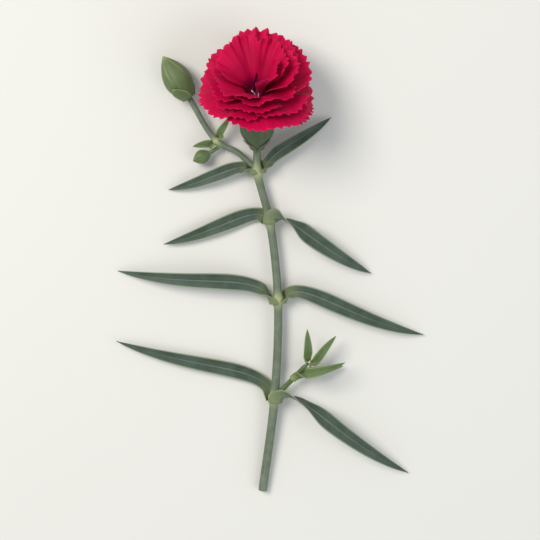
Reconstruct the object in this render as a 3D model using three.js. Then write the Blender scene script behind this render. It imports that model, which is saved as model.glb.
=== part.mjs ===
// Cut carnation: one flowering stem with its leaves, its side stem and its buds, lying on a
// flat surface. Millimetres, +Z up, the flower towards +Y, the origin at the bottom centre of
// the whole stem's box.

import * as THREE from 'three';

// Driving dimensions ---------------------------------------------------------------------

const CLEARANCE = 0.3; // gap between pieces that touch in the real flower

// Stem, from the flower down. The headings give the growing direction, from +X towards +Y.
const STEM_RADIUS = 1.3;
const NODE_SWELLING = 0.75;
const NODE_HALF_LENGTH = 1.6;
const INTERNODE_LENGTHS = [15, 24, 30, 29];
const INTERNODE_HEADINGS = [104, 96, 88, 83];

// Pedicel and flower axis.
const PEDICEL_LENGTH = 8;
const PEDICEL_RISE = 0.3; // share of the flower's elevation
const FLOWER_ELEVATION = 42;
const PEDICEL_RADIUS = 1.15;

// Calyx: a tube with five teeth.
const CALYX_LENGTH = 16.5;
const CALYX_RADIUS = 5;
const CALYX_BASE_RADIUS = 1.9;
const CALYX_WALL = 0.45;
const CALYX_FLOOR = 1.2;
const TOOTH_COUNT = 5;
const TOOTH_LENGTH = 3.4;
const TOOTH_FLARE = 0.5;

// Small bracts round the base of a calyx.
const EPICALYX_COUNT = 4;
const EPICALYX_LENGTH = 6.5;
const EPICALYX_HALF_ANGLE = 36;
const BRACT_CLEARANCE = 0.45;
const BRACT_THICKNESS = 0.4;

// Petals. Their order runs from the outermost to the innermost, in whorls of five.
const PETAL_PLACES = 20;
const WHORL_SIZE = 5;
const EMPTY_PLACES = [15, 17, 19];
const PETAL_THICKNESS = 0.3;
const CLAW_LENGTH = 12;
const CLAW_HALF_WIDTH = 0.8;
const MOUTH_ABOVE_TUBE = 1.7;
const STAGGERED_LAYERS = 6; // layers of petal by which the mouths rise inwards
const NESTED_LAYERS = 3.6; // layers of petal by which the claws close inwards
const BEND_LENGTH = 6;
const SPREAD_LENGTH = 9;
const OUTER_LIMB = { length: 18.3, bend: 116, curl: 12, halfAngle: 50 };
const INNER_LIMB = { length: 14.6, bend: 22, curl: 8, halfAngle: 54 };
const RIM_ROUNDING = 0.14;
const RIM_LEAN = 0.14;
const SIDE_SHORTENING = 0.09;
const FACE_TILT = 9;
const SKIRT_DROOP = 10;
const OUTER_NARROWING = 20;
const INNER_NARROWING = 4;
const FLUTE_ANGLE = 3;
const FLUTE_COUNT = 7;

// Pistil.
const OVARY_RADIUS = 1.4;
const OVARY_LENGTH = 8;
const OVARY_BASE_RADIUS = 0.9;
const OVARY_WIDEST = 0.4;
const STYLE_RADIUS = 0.3;
const STYLE_REACH = 5;
const STYLE_SPREAD = 0.8;
const STYLE_LEAN = 0.8;

// Leaves: a channelled blade on a base that clasps the node.
const LEAF_THICKNESS = 0.6;
const CLASP_CLEARANCE = 0.45;
const CLASP_HALF_ANGLE = 78;
const CLASP_LENGTH = 5;
const CHANNEL_HALF_ANGLE = 26;
const LEAF_REACH = 0.9; // distance of the tip from the stem, of the leaf's length
const LEAF_RISE = 0.2; // length that follows the stem before the leaf turns away
const LEAF_SHOULDER = 0.5; // length from the top of the arch to the tip
const SHOULDER_LIFT = 1.3;
const TIP_WIDTH = 0.05;

// Side stem in the left axil of the uppermost node, with one large and one small bud.
const SIDE_STEM_RADIUS = 0.85;
const SIDE_NODE_SWELLING = 0.4;
const SIDE_STEM_LENGTHS = [15, 15];
const SIDE_STEM_HEADINGS = [143, 122];
const BUD_LENGTH = 14.5;
const BUD_RADIUS = 4.2;
const BUD_BASE_RADIUS = 1.6;
const BUD_WIDEST = 0.42;
const BUD_BRACT_COUNT = 2;
const BUD_BRACT_LENGTH = 5;
const BUD_BRACT_HALF_ANGLE = 60;
const SMALL_BUD_LENGTH = 5.5;
const SMALL_BUD_RADIUS = 2.1;
const SMALL_BUD_BASE_RADIUS = 0.7;
const SMALL_BUD_WIDEST = 0.45;
const SMALL_STALK_LENGTH = 2.6;
const SMALL_STALK_RADIUS = 0.55;
const SMALL_BUD_HEADING = 206;
const SMALL_STALK_BELOW_FORK = 2.4;

// Young leafy shoot in the right axil of the lowest node.
const SHOOT_LENGTH = 11;
const SHOOT_RADIUS = 0.75;
const SHOOT_ANGLE = 38;
const LOWER_SHOOT_NODE = 0.4; // share of the shoot's length
const SHOOT_RISE = 0.15;
const SHOOT_START_LIFT = 0.6;

// Leaves of each main node: side is the place round the stem (0 right, 90 up), heading the
// direction of the tip, arch the height of the midline, tip the height of the point.
const NODE_LEAVES = [
  [
    { name: 'leaf_1_right', side: -8, heading: 36, length: 30, width: 4.6, arch: 5, tip: 0.8 },
    { name: 'leaf_1_left', side: 172, heading: 192, length: 30, width: 4.6, arch: 3, tip: 0.8 },
  ],
  [
    { name: 'leaf_2_right', side: 68, heading: -28, length: 38, width: 5.8, arch: 9, tip: 0.8 },
    { name: 'leaf_2_left', side: 248, heading: 193, length: 36, width: 5.2, arch: 2, tip: 1.5 },
  ],
  [
    { name: 'leaf_3_right', side: -12, heading: -14, length: 50, width: 5.4, arch: 7, tip: 0.8 },
    { name: 'leaf_3_left', side: 168, heading: 170, length: 54, width: 5.4, arch: 7, tip: 0.8 },
  ],
  [
    { name: 'leaf_4_right', side: 66, heading: -30, length: 52, width: 5.6, arch: 10, tip: 0.8 },
    { name: 'leaf_4_left', side: 246, heading: 160, length: 56, width: 5.2, arch: 2.5, tip: 2 },
  ],
];

// Leaves of the side stem's fork and of the shoot's two nodes, in the same terms.
const SIDE_BRACTS = [
  { name: 'side_bract_left', side: 185, heading: 192, length: 8, width: 2.4, arch: 4, tip: 4 },
  { name: 'side_bract_right', side: 5, heading: 62, length: 9, width: 2.4, arch: 5, tip: 5 },
];
const LOWER_SHOOT_LEAVES = [
  { name: 'shoot_leaf_1', side: 100, heading: 20, length: 18, width: 3.4, arch: 10, tip: 9 },
  { name: 'shoot_leaf_2', side: 280, heading: 12, length: 17, width: 3.2, arch: 3, tip: 2 },
];
const UPPER_SHOOT_LEAVES = [
  { name: 'shoot_leaf_3', side: 10, heading: 45, length: 13, width: 2.8, arch: 6, tip: 6 },
  { name: 'shoot_leaf_4', side: 190, heading: 92, length: 12, width: 2.8, arch: 7, tip: 9 },
];

const COLOURS = {
  petal: [0xc0063c, 0.62],
  pistil: [0xf0dfe6, 0.5],
  ovary: [0x93a868, 0.6],
  calyx: [0x4c6340, 0.55],
  bud: [0x6b7c49, 0.55],
  stem: [0x6d7c60, 0.55],
  leaf: [0x4d6450, 0.6],
  young: [0x66794a, 0.6],
};

// Sizes that follow from the driving dimensions -------------------------------------------

// The middle of a leaf base that clasps a node of this radius.
function claspRadiusOn(nodeRadius) {
  return nodeRadius + CLASP_CLEARANCE + LEAF_THICKNESS / 2;
}

const NODE_RADIUS = STEM_RADIUS + NODE_SWELLING;
const CLASP_RADIUS = claspRadiusOn(NODE_RADIUS);
const NODE_HEIGHT = CLASP_RADIUS + LEAF_THICKNESS / 2;
const CALYX_INNER_RADIUS = CALYX_RADIUS - CALYX_WALL;
const OUTER_CLAW_RADIUS = CALYX_INNER_RADIUS - CLEARANCE - PETAL_THICKNESS / 2;
const MOUTH_HEIGHT = CALYX_LENGTH + MOUTH_ABOVE_TUBE;
const PETAL_LAYER = PETAL_THICKNESS + CLEARANCE;
const INNER_CLAW_RADIUS = OUTER_CLAW_RADIUS - NESTED_LAYERS * PETAL_LAYER;
const MOUTH_STAGGER = STAGGERED_LAYERS * PETAL_LAYER;
const AXIL_HEIGHT = NODE_HALF_LENGTH * 2.2;
const AXIL_GAP = CLEARANCE * 1.5;
const CALYX_RINGS = 9;
const STEM_RINGS = 56;
const CURVE_SAMPLES = 600;

// Small helpers ---------------------------------------------------------------------------

const UP = new THREE.Vector3(0, 0, 1);

const radians = THREE.MathUtils.degToRad;

const mix = THREE.MathUtils.lerp;

const ease = (value) => THREE.MathUtils.smoothstep(value, 0, 1);

const headingVector = (degrees) =>
  new THREE.Vector3(Math.cos(radians(degrees)), Math.sin(radians(degrees)), 0);

function part(name, geometry, colour) {
  const [color, roughness] = COLOURS[colour];
  const mesh = new THREE.Mesh(
    geometry,
    new THREE.MeshStandardMaterial({ color, roughness, metalness: 0 }),
  );
  mesh.name = name;
  return mesh;
}

// Makes a closed geometry from shared vertices and turns its faces outwards.
function solidFrom(vertices, faces) {
  let volume = 0;
  for (const [a, b, c] of faces) {
    volume += vertices[a].dot(vertices[b].clone().cross(vertices[c]));
  }
  const outward = volume > 0 ? faces : faces.map(([a, b, c]) => [a, c, b]);
  const geometry = new THREE.BufferGeometry();
  geometry.setFromPoints(vertices);
  geometry.setIndex(outward.flat());
  geometry.computeVertexNormals();
  return geometry;
}

// Joins rings of equally many vertices into a closed solid with a fan at each end.
function ringSolid(rings) {
  const sides = rings[0].length;
  const vertices = rings.flat();
  const faces = [];
  for (let ring = 0; ring + 1 < rings.length; ring += 1) {
    for (let side = 0; side < sides; side += 1) {
      const a = ring * sides + side;
      const b = ring * sides + ((side + 1) % sides);
      faces.push([a, b, b + sides], [a, b + sides, a + sides]);
    }
  }
  for (const [first, flip] of [[0, true], [(rings.length - 1) * sides, false]]) {
    const ring = vertices.slice(first, first + sides);
    const centre = ring.reduce((sum, v) => sum.add(v), new THREE.Vector3());
    vertices.push(centre.divideScalar(sides));
    const hub = vertices.length - 1;
    for (let side = 0; side < sides; side += 1) {
      const a = first + side;
      const b = first + ((side + 1) % sides);
      faces.push(flip ? [b, a, hub] : [a, b, hub]);
    }
  }
  return solidFrom(vertices, faces);
}

// A round rod along a curve, its radius given by the distance from the curve's start.
function rodSolid(curve, radiusAt, steps, sides) {
  const frames = curve.computeFrenetFrames(steps, false);
  const length = curve.getLength();
  const rings = [];
  for (let step = 0; step <= steps; step += 1) {
    const centre = curve.getPointAt(step / steps);
    const radius = radiusAt((step / steps) * length);
    const ring = [];
    for (let side = 0; side < sides; side += 1) {
      const angle = (2 * Math.PI * side) / sides;
      ring.push(
        centre
          .clone()
          .addScaledVector(frames.normals[step], radius * Math.cos(angle))
          .addScaledVector(frames.binormals[step], radius * Math.sin(angle)),
      );
    }
    rings.push(ring);
  }
  return ringSolid(rings);
}

function surfaceNormal(surface, along, across) {
  const step = 0.004;
  const high = (value, top) => Math.min(value + step, top);
  const low = (value, bottom) => Math.max(value - step, bottom);
  const lengthwise = surface(high(along, 1), across).sub(surface(low(along, surface.start), across));
  const crosswise = surface(along, high(across, 1)).sub(surface(along, low(across, -1)));
  return lengthwise.cross(crosswise).normalize();
}

// A thin closed sheet. surface(along, across) is its middle, across runs from -1 to 1.
function sheetSolid(surface, rows, columns, thickness) {
  const vertices = [];
  for (const face of [0.5, -0.5]) {
    for (const along of rows) {
      for (let column = 0; column <= columns; column += 1) {
        const across = (2 * column) / columns - 1;
        const normal = surfaceNormal(surface, along, across);
        vertices.push(surface(along, across).addScaledVector(normal, face * thickness));
      }
    }
  }
  const width = columns + 1;
  const below = rows.length * width;
  const faces = [];
  for (let row = 0; row + 1 < rows.length; row += 1) {
    for (let column = 0; column < columns; column += 1) {
      const a = row * width + column;
      const b = a + 1;
      const c = a + width + 1;
      const d = a + width;
      faces.push([a, b, c], [a, c, d]);
      faces.push([a + below, c + below, b + below], [a + below, d + below, c + below]);
    }
  }
  const edge = [];
  for (let column = 0; column < columns; column += 1) edge.push(column);
  for (let row = 0; row + 1 < rows.length; row += 1) edge.push(row * width + columns);
  for (let column = columns; column > 0; column -= 1) edge.push((rows.length - 1) * width + column);
  for (let row = rows.length - 1; row > 0; row -= 1) edge.push(row * width);
  edge.forEach((a, index) => {
    const b = edge[(index + 1) % edge.length];
    faces.push([b, a, a + below], [b, a + below, b + below]);
  });
  return solidFrom(vertices, faces);
}

// Distance from a curve's start to its point nearest a place.
function distanceAlong(curve, place) {
  const points = curve.getSpacedPoints(CURVE_SAMPLES);
  const gaps = points.map((point) => point.distanceTo(place));
  return (gaps.indexOf(Math.min(...gaps)) / CURVE_SAMPLES) * curve.getLength();
}

const evenRows = (count) => Array.from({ length: count + 1 }, (_, row) => row / count);

// Main stem --------------------------------------------------------------------------------

// The nodes lie on the surface, each an internode below the last.
function nodePlaces() {
  const places = [new THREE.Vector3(0, 0, NODE_HEIGHT)];
  INTERNODE_LENGTHS.forEach((length, index) => {
    const growing = headingVector(INTERNODE_HEADINGS[index]);
    places.push(places[index].clone().addScaledVector(growing, -length));
  });
  const cutEnd = places[places.length - 1];
  cutEnd.z = STEM_RADIUS;
  return places;
}

const FLOWER_AXIS = new THREE.Vector3(
  0,
  Math.cos(radians(FLOWER_ELEVATION)),
  Math.sin(radians(FLOWER_ELEVATION)),
);

function calyxBasePlace(topNode) {
  const elevation = radians(FLOWER_ELEVATION * PEDICEL_RISE);
  const pedicel = new THREE.Vector3(0, Math.cos(elevation), Math.sin(elevation));
  return topNode.clone().addScaledVector(pedicel, PEDICEL_LENGTH);
}

function stemCurve(nodes, calyxBase) {
  const end = calyxBase.clone().addScaledVector(FLOWER_AXIS, -CLEARANCE);
  const neck = end.clone().addScaledVector(FLOWER_AXIS, -PEDICEL_LENGTH * 0.3);
  return new THREE.CatmullRomCurve3([...nodes.slice().reverse(), neck, end], false, 'centripetal');
}

function stemFrame(curve, controlIndex) {
  const parameter = controlIndex / (curve.points.length - 1);
  const growing = curve.getTangent(parameter);
  const right = growing.clone().cross(UP).normalize();
  const over = right.clone().cross(growing).normalize();
  return { place: curve.getPoint(parameter), growing, right, over };
}

function stemPart(curve, nodes) {
  const length = curve.getLength();
  const nodeDistances = nodes.map((node) => distanceAlong(curve, node));
  const radiusAt = (distance) => {
    const slender = mix(STEM_RADIUS, PEDICEL_RADIUS, ease(distance / length));
    const swelling = nodeDistances
      .map((node) => Math.exp(-(((distance - node) / NODE_HALF_LENGTH) ** 2)))
      .reduce((sum, value) => sum + value, 0);
    return slender + NODE_SWELLING * Math.min(swelling, 1);
  };
  return part('stem', rodSolid(curve, radiusAt, STEM_RINGS, 10), 'stem');
}

// Leaves -----------------------------------------------------------------------------------

// The midline leaves the clasp along the stem, arches over and ends at the tip.
function leafMidline(frame, leaf, claspRadius) {
  const side = radians(leaf.side);
  const out = frame.right.clone().multiplyScalar(Math.cos(side));
  out.addScaledVector(frame.over, Math.sin(side));
  const base = frame.place.clone().addScaledVector(out, claspRadius);
  base.addScaledVector(frame.growing, -leaf.length * 0.02);
  const rise = base.clone().addScaledVector(frame.growing, leaf.length * LEAF_RISE);
  rise.addScaledVector(out, leaf.length * 0.03);
  const outward = headingVector(leaf.heading);
  const tip = frame.place.clone().addScaledVector(outward, leaf.length * LEAF_REACH);
  tip.z = leaf.tip;
  const shoulder = tip.clone().addScaledVector(outward, -leaf.length * LEAF_SHOULDER);
  shoulder.z = leaf.arch * SHOULDER_LIFT;
  return { curve: new THREE.CubicBezierCurve3(base, rise, shoulder, tip), out };
}

function leafSurface(frame, leaf, claspRadius) {
  const { curve, out } = leafMidline(frame, leaf, claspRadius);
  const claspAngle = radians(CLASP_HALF_ANGLE);
  const channelAngle = radians(CHANNEL_HALF_ANGLE);
  const claspLength = Math.min(CLASP_LENGTH, leaf.length * 0.3);
  const under = Math.max(0, -out.z); // 1 where the leaf grows from the underside
  const surface = (along, across) => {
    const opened = ease((along * leaf.length) / claspLength);
    const taper = (1 - along ** 3) ** 0.8;
    const blade = (leaf.width / 2) * taper * (0.7 + 0.3 * ease(along / 0.35));
    const halfWidth = mix(claspRadius * claspAngle, Math.max(blade, leaf.width * TIP_WIDTH), opened);
    const halfAngle = mix(claspAngle, channelAngle, opened);
    const tangent = curve.getTangentAt(along);
    const turned = ease(along / 0.2);
    const levelled = ease((along - 0.12) / 0.4);
    const inner = out.clone().multiplyScalar(turned - 1);
    inner.addScaledVector(frame.growing, turned * (1 - levelled) * (1 - under));
    inner.addScaledVector(UP, Math.max(levelled, turned * under));
    inner.addScaledVector(tangent, -inner.dot(tangent)).normalize();
    const crosswise = tangent.clone().cross(inner);
    const radius = halfWidth / halfAngle;
    return curve
      .getPointAt(along)
      .addScaledVector(crosswise, radius * Math.sin(across * halfAngle))
      .addScaledVector(inner, radius * (1 - Math.cos(across * halfAngle)));
  };
  surface.start = 0;
  return surface;
}

function leafPart(frame, leaf, claspRadius, colour = 'leaf', rows = 12) {
  const surface = leafSurface(frame, leaf, claspRadius);
  return part(leaf.name, sheetSolid(surface, evenRows(rows), 4, LEAF_THICKNESS), colour);
}

// Calyx and bracts -------------------------------------------------------------------------

// Outer radius of the calyx tube at a height above its base.
function calyxRadius(height) {
  const swell = ease(height / (CALYX_LENGTH * 0.45)) ** 0.8;
  return mix(CALYX_BASE_RADIUS, CALYX_RADIUS, swell);
}

function calyxPart() {
  const sides = TOOTH_COUNT * 6;
  const rings = [];
  const ringAt = (share, inset) => {
    const ring = [];
    for (let side = 0; side < sides; side += 1) {
      const angle = (2 * Math.PI * side) / sides;
      const phase = (side * TOOTH_COUNT) / sides;
      const tooth = 1 - Math.abs(2 * (phase - Math.floor(phase)) - 1);
      const bottom = inset > 0 ? CALYX_FLOOR : 0;
      const top = CALYX_LENGTH + TOOTH_LENGTH * tooth;
      const height = mix(bottom, top, share);
      const flare = TOOTH_FLARE * Math.max(0, (height - CALYX_LENGTH) / TOOTH_LENGTH);
      const radius = Math.max(calyxRadius(height) + flare - inset, CALYX_BASE_RADIUS / 2);
      ring.push(new THREE.Vector3(radius * Math.cos(angle), radius * Math.sin(angle), height));
    }
    return ring;
  };
  for (let ring = 0; ring <= CALYX_RINGS; ring += 1) rings.push(ringAt(ring / CALYX_RINGS, 0));
  for (let ring = CALYX_RINGS; ring >= 0; ring -= 1) {
    rings.push(ringAt(ring / CALYX_RINGS, CALYX_WALL));
  }
  return part('calyx', ringSolid(rings), 'calyx');
}

// A pointed scale that follows a body of revolution from its base upwards.
function scaleSurface(radiusAt, angle, length, halfAngle, lift) {
  const surface = (along, across) => {
    const height = along * length;
    const spread = radians(halfAngle) * (1 - along ** 2.4) ** 0.7 + 0.03;
    const azimuth = angle + across * spread;
    const radius = radiusAt(height) + lift;
    return new THREE.Vector3(radius * Math.cos(azimuth), radius * Math.sin(azimuth), height);
  };
  surface.start = 0;
  return surface;
}

function scaleParts(prefix, count, radiusAt, length, halfAngle, colour) {
  const lift = BRACT_CLEARANCE + BRACT_THICKNESS / 2;
  return Array.from({ length: count }, (_, index) => {
    const angle = (2 * Math.PI * (index + 0.5)) / count;
    const surface = scaleSurface(radiusAt, angle, length, halfAngle, lift);
    const geometry = sheetSolid(surface, evenRows(6), 4, BRACT_THICKNESS);
    return part(`${prefix}_${index + 1}`, geometry, colour);
  });
}

// Petals -----------------------------------------------------------------------------------

// Every petal is a patch of one family of nested flared surfaces, from the outermost
// (depth 0) to the innermost (depth 1), so no two of them meet.
function petalAt(place) {
  const depth = place / (PETAL_PLACES - 1);
  const whorl = Math.floor(place / WHORL_SIZE);
  const turn = (2 * 360 * (place % WHORL_SIZE)) / WHORL_SIZE - (180 * whorl) / WHORL_SIZE;
  return {
    depth,
    azimuth: radians(turn),
    clawRadius: mix(OUTER_CLAW_RADIUS, INNER_CLAW_RADIUS, depth),
    mouth: MOUTH_STAGGER * depth,
    length: mix(OUTER_LIMB.length, INNER_LIMB.length, depth),
    bend: mix(OUTER_LIMB.bend, INNER_LIMB.bend, depth),
    curl: mix(OUTER_LIMB.curl, INNER_LIMB.curl, depth),
    halfAngle: radians(mix(OUTER_LIMB.halfAngle, INNER_LIMB.halfAngle, depth)),
  };
}

// Radius and height of a limb's profile: one arc over the bend and a flatter one beyond it.
function limbProfile(distance, length, bend, curl) {
  const bendRadius = BEND_LENGTH / bend;
  const bent = Math.min(distance, BEND_LENGTH) / bendRadius;
  const radius = bendRadius * (1 - Math.cos(bent));
  const height = bendRadius * Math.sin(bent);
  const beyond = distance - BEND_LENGTH;
  if (beyond <= 0) return [radius, height];
  const curlRadius = (length - BEND_LENGTH) / curl;
  const end = bend + beyond / curlRadius;
  return [
    radius + curlRadius * (Math.cos(bend) - Math.cos(end)),
    height + curlRadius * (Math.sin(end) - Math.sin(bend)),
  ];
}

function petalSurface(petal) {
  const surface = (along, across) => {
    const rimAzimuth = petal.azimuth + across * petal.halfAngle;
    const lean = 1 + RIM_LEAN * Math.sin(rimAzimuth) - SIDE_SHORTENING * Math.cos(rimAzimuth) ** 2;
    const rim = petal.length * lean * (1 - RIM_ROUNDING * across ** 4);
    const distance = along < 0 ? along * CLAW_LENGTH : along * rim;
    const clawAngle = CLAW_HALF_WIDTH / petal.clawRadius;
    const spread = mix(clawAngle, petal.halfAngle, ease(distance / SPREAD_LENGTH));
    const azimuth = petal.azimuth + across * spread;
    const tilt = mix(SKIRT_DROOP, -FACE_TILT, petal.depth) * Math.sin(azimuth);
    const narrowing = mix(OUTER_NARROWING, INNER_NARROWING, petal.depth) * Math.sin(azimuth) ** 2;
    const flute = FLUTE_ANGLE * Math.sin(FLUTE_COUNT * azimuth);
    const bend = radians(petal.bend + tilt - narrowing + flute);
    const [outward, upward] =
      distance > 0
        ? limbProfile(distance, petal.length, bend, radians(petal.curl))
        : [0, distance];
    const radius = petal.clawRadius + outward;
    return new THREE.Vector3(
      radius * Math.cos(azimuth),
      radius * Math.sin(azimuth),
      petal.mouth + upward,
    );
  };
  surface.start = -1;
  return surface;
}

function petalParts() {
  const rows = [-1, 0, 0.12, 0.24, 0.36, 0.5, 0.66, 0.83, 1];
  const places = Array.from({ length: PETAL_PLACES }, (_, place) => place);
  return places
    .filter((place) => !EMPTY_PLACES.includes(place))
    .map((place, index) => {
      const surface = petalSurface(petalAt(place));
      const name = `petal_${String(index + 1).padStart(2, '0')}`;
      return part(name, sheetSolid(surface, rows, 8, PETAL_THICKNESS), 'petal');
    });
}

// Pistil -----------------------------------------------------------------------------------

// A pointed body of revolution from its widest share of the length.
function ovoid(length, radius, baseRadius, widest, rings = 10, sides = 12) {
  const profile = [new THREE.Vector2(0, 0)];
  for (let ring = 0; ring < rings; ring += 1) {
    const share = ring / rings;
    const lower = mix(baseRadius, radius, Math.sin((Math.PI / 2) * Math.min(share / widest, 1)));
    const upper = Math.max(0, (share - widest) / (1 - widest));
    profile.push(new THREE.Vector2(lower * (1 - upper ** 1.9), share * length));
  }
  profile.push(new THREE.Vector2(0, length));
  const geometry = new THREE.LatheGeometry(profile, sides);
  geometry.rotateX(Math.PI / 2);
  return geometry;
}

function pistilParts() {
  const ovaryBase = CALYX_FLOOR + CLEARANCE - MOUTH_HEIGHT;
  const body = ovoid(OVARY_LENGTH, OVARY_RADIUS, OVARY_BASE_RADIUS, OVARY_WIDEST, 8, 8);
  const ovary = part('ovary', body, 'ovary');
  ovary.position.z = ovaryBase;
  const styleBase = ovaryBase + OVARY_LENGTH + CLEARANCE;
  const styles = [-1, 1].map((hand, index) => {
    const foot = STYLE_RADIUS + CLEARANCE / 2;
    const curve = new THREE.CatmullRomCurve3([
      new THREE.Vector3(hand * foot, 0, styleBase),
      new THREE.Vector3(hand * foot, 0, styleBase / 2),
      new THREE.Vector3(hand * foot * 1.2, 0, 0),
      new THREE.Vector3(hand * STYLE_SPREAD * 0.75, -STYLE_LEAN * 0.4, STYLE_REACH * 0.7),
      new THREE.Vector3(hand * STYLE_SPREAD * 1.5, -STYLE_LEAN, STYLE_REACH),
    ]);
    const radiusAt = () => STYLE_RADIUS;
    return part(`style_${index + 1}`, rodSolid(curve, radiusAt, 12, 6), 'pistil');
  });
  return [ovary, ...styles];
}

// Bloom ------------------------------------------------------------------------------------

// The calyx stands on the group's origin with its axis along local Z.
function bloom(calyxBase) {
  const group = new THREE.Group();
  group.position.copy(calyxBase);
  group.rotation.x = radians(FLOWER_ELEVATION - 90);
  group.add(calyxPart());
  group.add(
    ...scaleParts(
      'epicalyx_bract',
      EPICALYX_COUNT,
      calyxRadius,
      EPICALYX_LENGTH,
      EPICALYX_HALF_ANGLE,
      'calyx',
    ),
  );
  const corolla = new THREE.Group();
  corolla.position.z = MOUTH_HEIGHT;
  corolla.add(...petalParts(), ...pistilParts());
  group.add(corolla);
  return group;
}

// Side stem and buds -----------------------------------------------------------------------

function sideStemCurve(frame) {
  const first = headingVector(SIDE_STEM_HEADINGS[0]);
  const second = headingVector(SIDE_STEM_HEADINGS[1]);
  const start = frame.place.clone();
  start.addScaledVector(frame.growing, AXIL_HEIGHT);
  start.addScaledVector(frame.right, -(STEM_RADIUS + AXIL_GAP + SIDE_STEM_RADIUS));
  const fork = frame.place.clone().addScaledVector(first, SIDE_STEM_LENGTHS[0]);
  fork.z = SMALL_BUD_RADIUS + CLEARANCE * 3;
  const end = fork.clone().addScaledVector(second, SIDE_STEM_LENGTHS[1]);
  end.z = BUD_RADIUS;
  const early = start.clone().lerp(fork, 0.3);
  early.addScaledVector(frame.growing, 0.8);
  return new THREE.CatmullRomCurve3([start, early, fork, end], false, 'centripetal');
}

function sideStemParts(frame) {
  const curve = sideStemCurve(frame);
  const forkFrame = stemFrame(curve, 2);
  const forkDistance = distanceAlong(curve, forkFrame.place);
  const radiusAt = (distance) =>
    SIDE_STEM_RADIUS + SIDE_NODE_SWELLING * Math.exp(-((distance - forkDistance) ** 2));
  const stem = part('side_stem', rodSolid(curve, radiusAt, 20, 8), 'stem');
  const claspRadius = claspRadiusOn(SIDE_STEM_RADIUS + SIDE_NODE_SWELLING);
  const bracts = SIDE_BRACTS.map((bract) => leafPart(forkFrame, bract, claspRadius, 'young', 8));
  return [stem, ...bracts, ...budParts(curve), ...smallBudParts(forkFrame)];
}

function budRadius(height) {
  const share = Math.min(height / BUD_LENGTH / BUD_WIDEST, 1);
  return mix(BUD_BASE_RADIUS, BUD_RADIUS, Math.sin((Math.PI / 2) * share));
}

function budParts(curve) {
  const direction = curve.getTangent(1);
  const group = new THREE.Group();
  group.position.copy(curve.getPoint(1)).addScaledVector(direction, CLEARANCE);
  group.quaternion.setFromUnitVectors(UP, direction);
  group.add(part('bud', ovoid(BUD_LENGTH, BUD_RADIUS, BUD_BASE_RADIUS, BUD_WIDEST), 'bud'));
  group.add(
    ...scaleParts(
      'bud_bract',
      BUD_BRACT_COUNT,
      budRadius,
      BUD_BRACT_LENGTH,
      BUD_BRACT_HALF_ANGLE,
      'bud',
    ),
  );
  return [group];
}

function smallBudParts(frame) {
  const direction = headingVector(SMALL_BUD_HEADING);
  const start = frame.place.clone();
  start.addScaledVector(direction, SIDE_STEM_RADIUS + SIDE_NODE_SWELLING + CLEARANCE);
  start.addScaledVector(frame.growing, -SMALL_STALK_BELOW_FORK);
  const end = start.clone().addScaledVector(direction, SMALL_STALK_LENGTH);
  const stalk = new THREE.LineCurve3(start, end);
  const shape = ovoid(
    SMALL_BUD_LENGTH,
    SMALL_BUD_RADIUS,
    SMALL_BUD_BASE_RADIUS,
    SMALL_BUD_WIDEST,
    8,
    10,
  );
  const bud = part('small_bud', shape, 'bud');
  bud.position.copy(end).addScaledVector(direction, CLEARANCE);
  bud.quaternion.setFromUnitVectors(UP, direction);
  return [
    part('small_bud_stalk', rodSolid(stalk, () => SMALL_STALK_RADIUS, 2, 6), 'young'),
    bud,
  ];
}

// Young shoot ------------------------------------------------------------------------------

function shootParts(frame) {
  const angle = radians(SHOOT_ANGLE);
  const direction = frame.growing.clone().multiplyScalar(Math.cos(angle));
  direction.addScaledVector(frame.right, Math.sin(angle));
  direction.addScaledVector(UP, SHOOT_RISE).normalize();
  const start = frame.place.clone();
  start.addScaledVector(frame.growing, AXIL_HEIGHT);
  start.addScaledVector(frame.right, STEM_RADIUS + AXIL_GAP + SHOOT_RADIUS);
  start.addScaledVector(UP, SHOOT_START_LIFT);
  const end = start.clone().addScaledVector(direction, SHOOT_LENGTH);
  const middle = start.clone().lerp(end, LOWER_SHOOT_NODE);
  const curve = new THREE.CatmullRomCurve3([start, middle, end]);
  const claspRadius = claspRadiusOn(SHOOT_RADIUS);
  const lower = stemFrame(curve, 1);
  const upper = stemFrame(curve, 2);
  return [
    part('shoot_stem', rodSolid(curve, () => SHOOT_RADIUS, 8, 8), 'young'),
    ...LOWER_SHOOT_LEAVES.map((leaf) => leafPart(lower, leaf, claspRadius, 'young', 8)),
    ...UPPER_SHOOT_LEAVES.map((leaf) => leafPart(upper, leaf, claspRadius, 'young', 8)),
  ];
}

// Whole stem -------------------------------------------------------------------------------

function cutCarnation() {
  const places = nodePlaces();
  const nodes = places.slice(0, -1);
  const calyxBase = calyxBasePlace(nodes[0]);
  const curve = stemCurve(places, calyxBase);
  const frames = nodes.map((_, index) => stemFrame(curve, places.length - 1 - index));
  const carnation = new THREE.Group();
  carnation.add(stemPart(curve, nodes));
  frames.forEach((frame, index) => {
    NODE_LEAVES[index].forEach((leaf) => carnation.add(leafPart(frame, leaf, CLASP_RADIUS)));
  });
  carnation.add(bloom(calyxBase));
  carnation.add(...sideStemParts(frames[0]));
  carnation.add(...shootParts(frames[3]));
  const box = new THREE.Box3().setFromObject(carnation, true);
  const centre = box.getCenter(new THREE.Vector3());
  carnation.position.set(-centre.x, -centre.y, -box.min.z);
  const seated = new THREE.Group();
  seated.add(carnation);
  return seated;
}

export default cutCarnation();
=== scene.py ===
import math

import bpy
import numpy as np
from mathutils import Matrix, Vector


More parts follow.
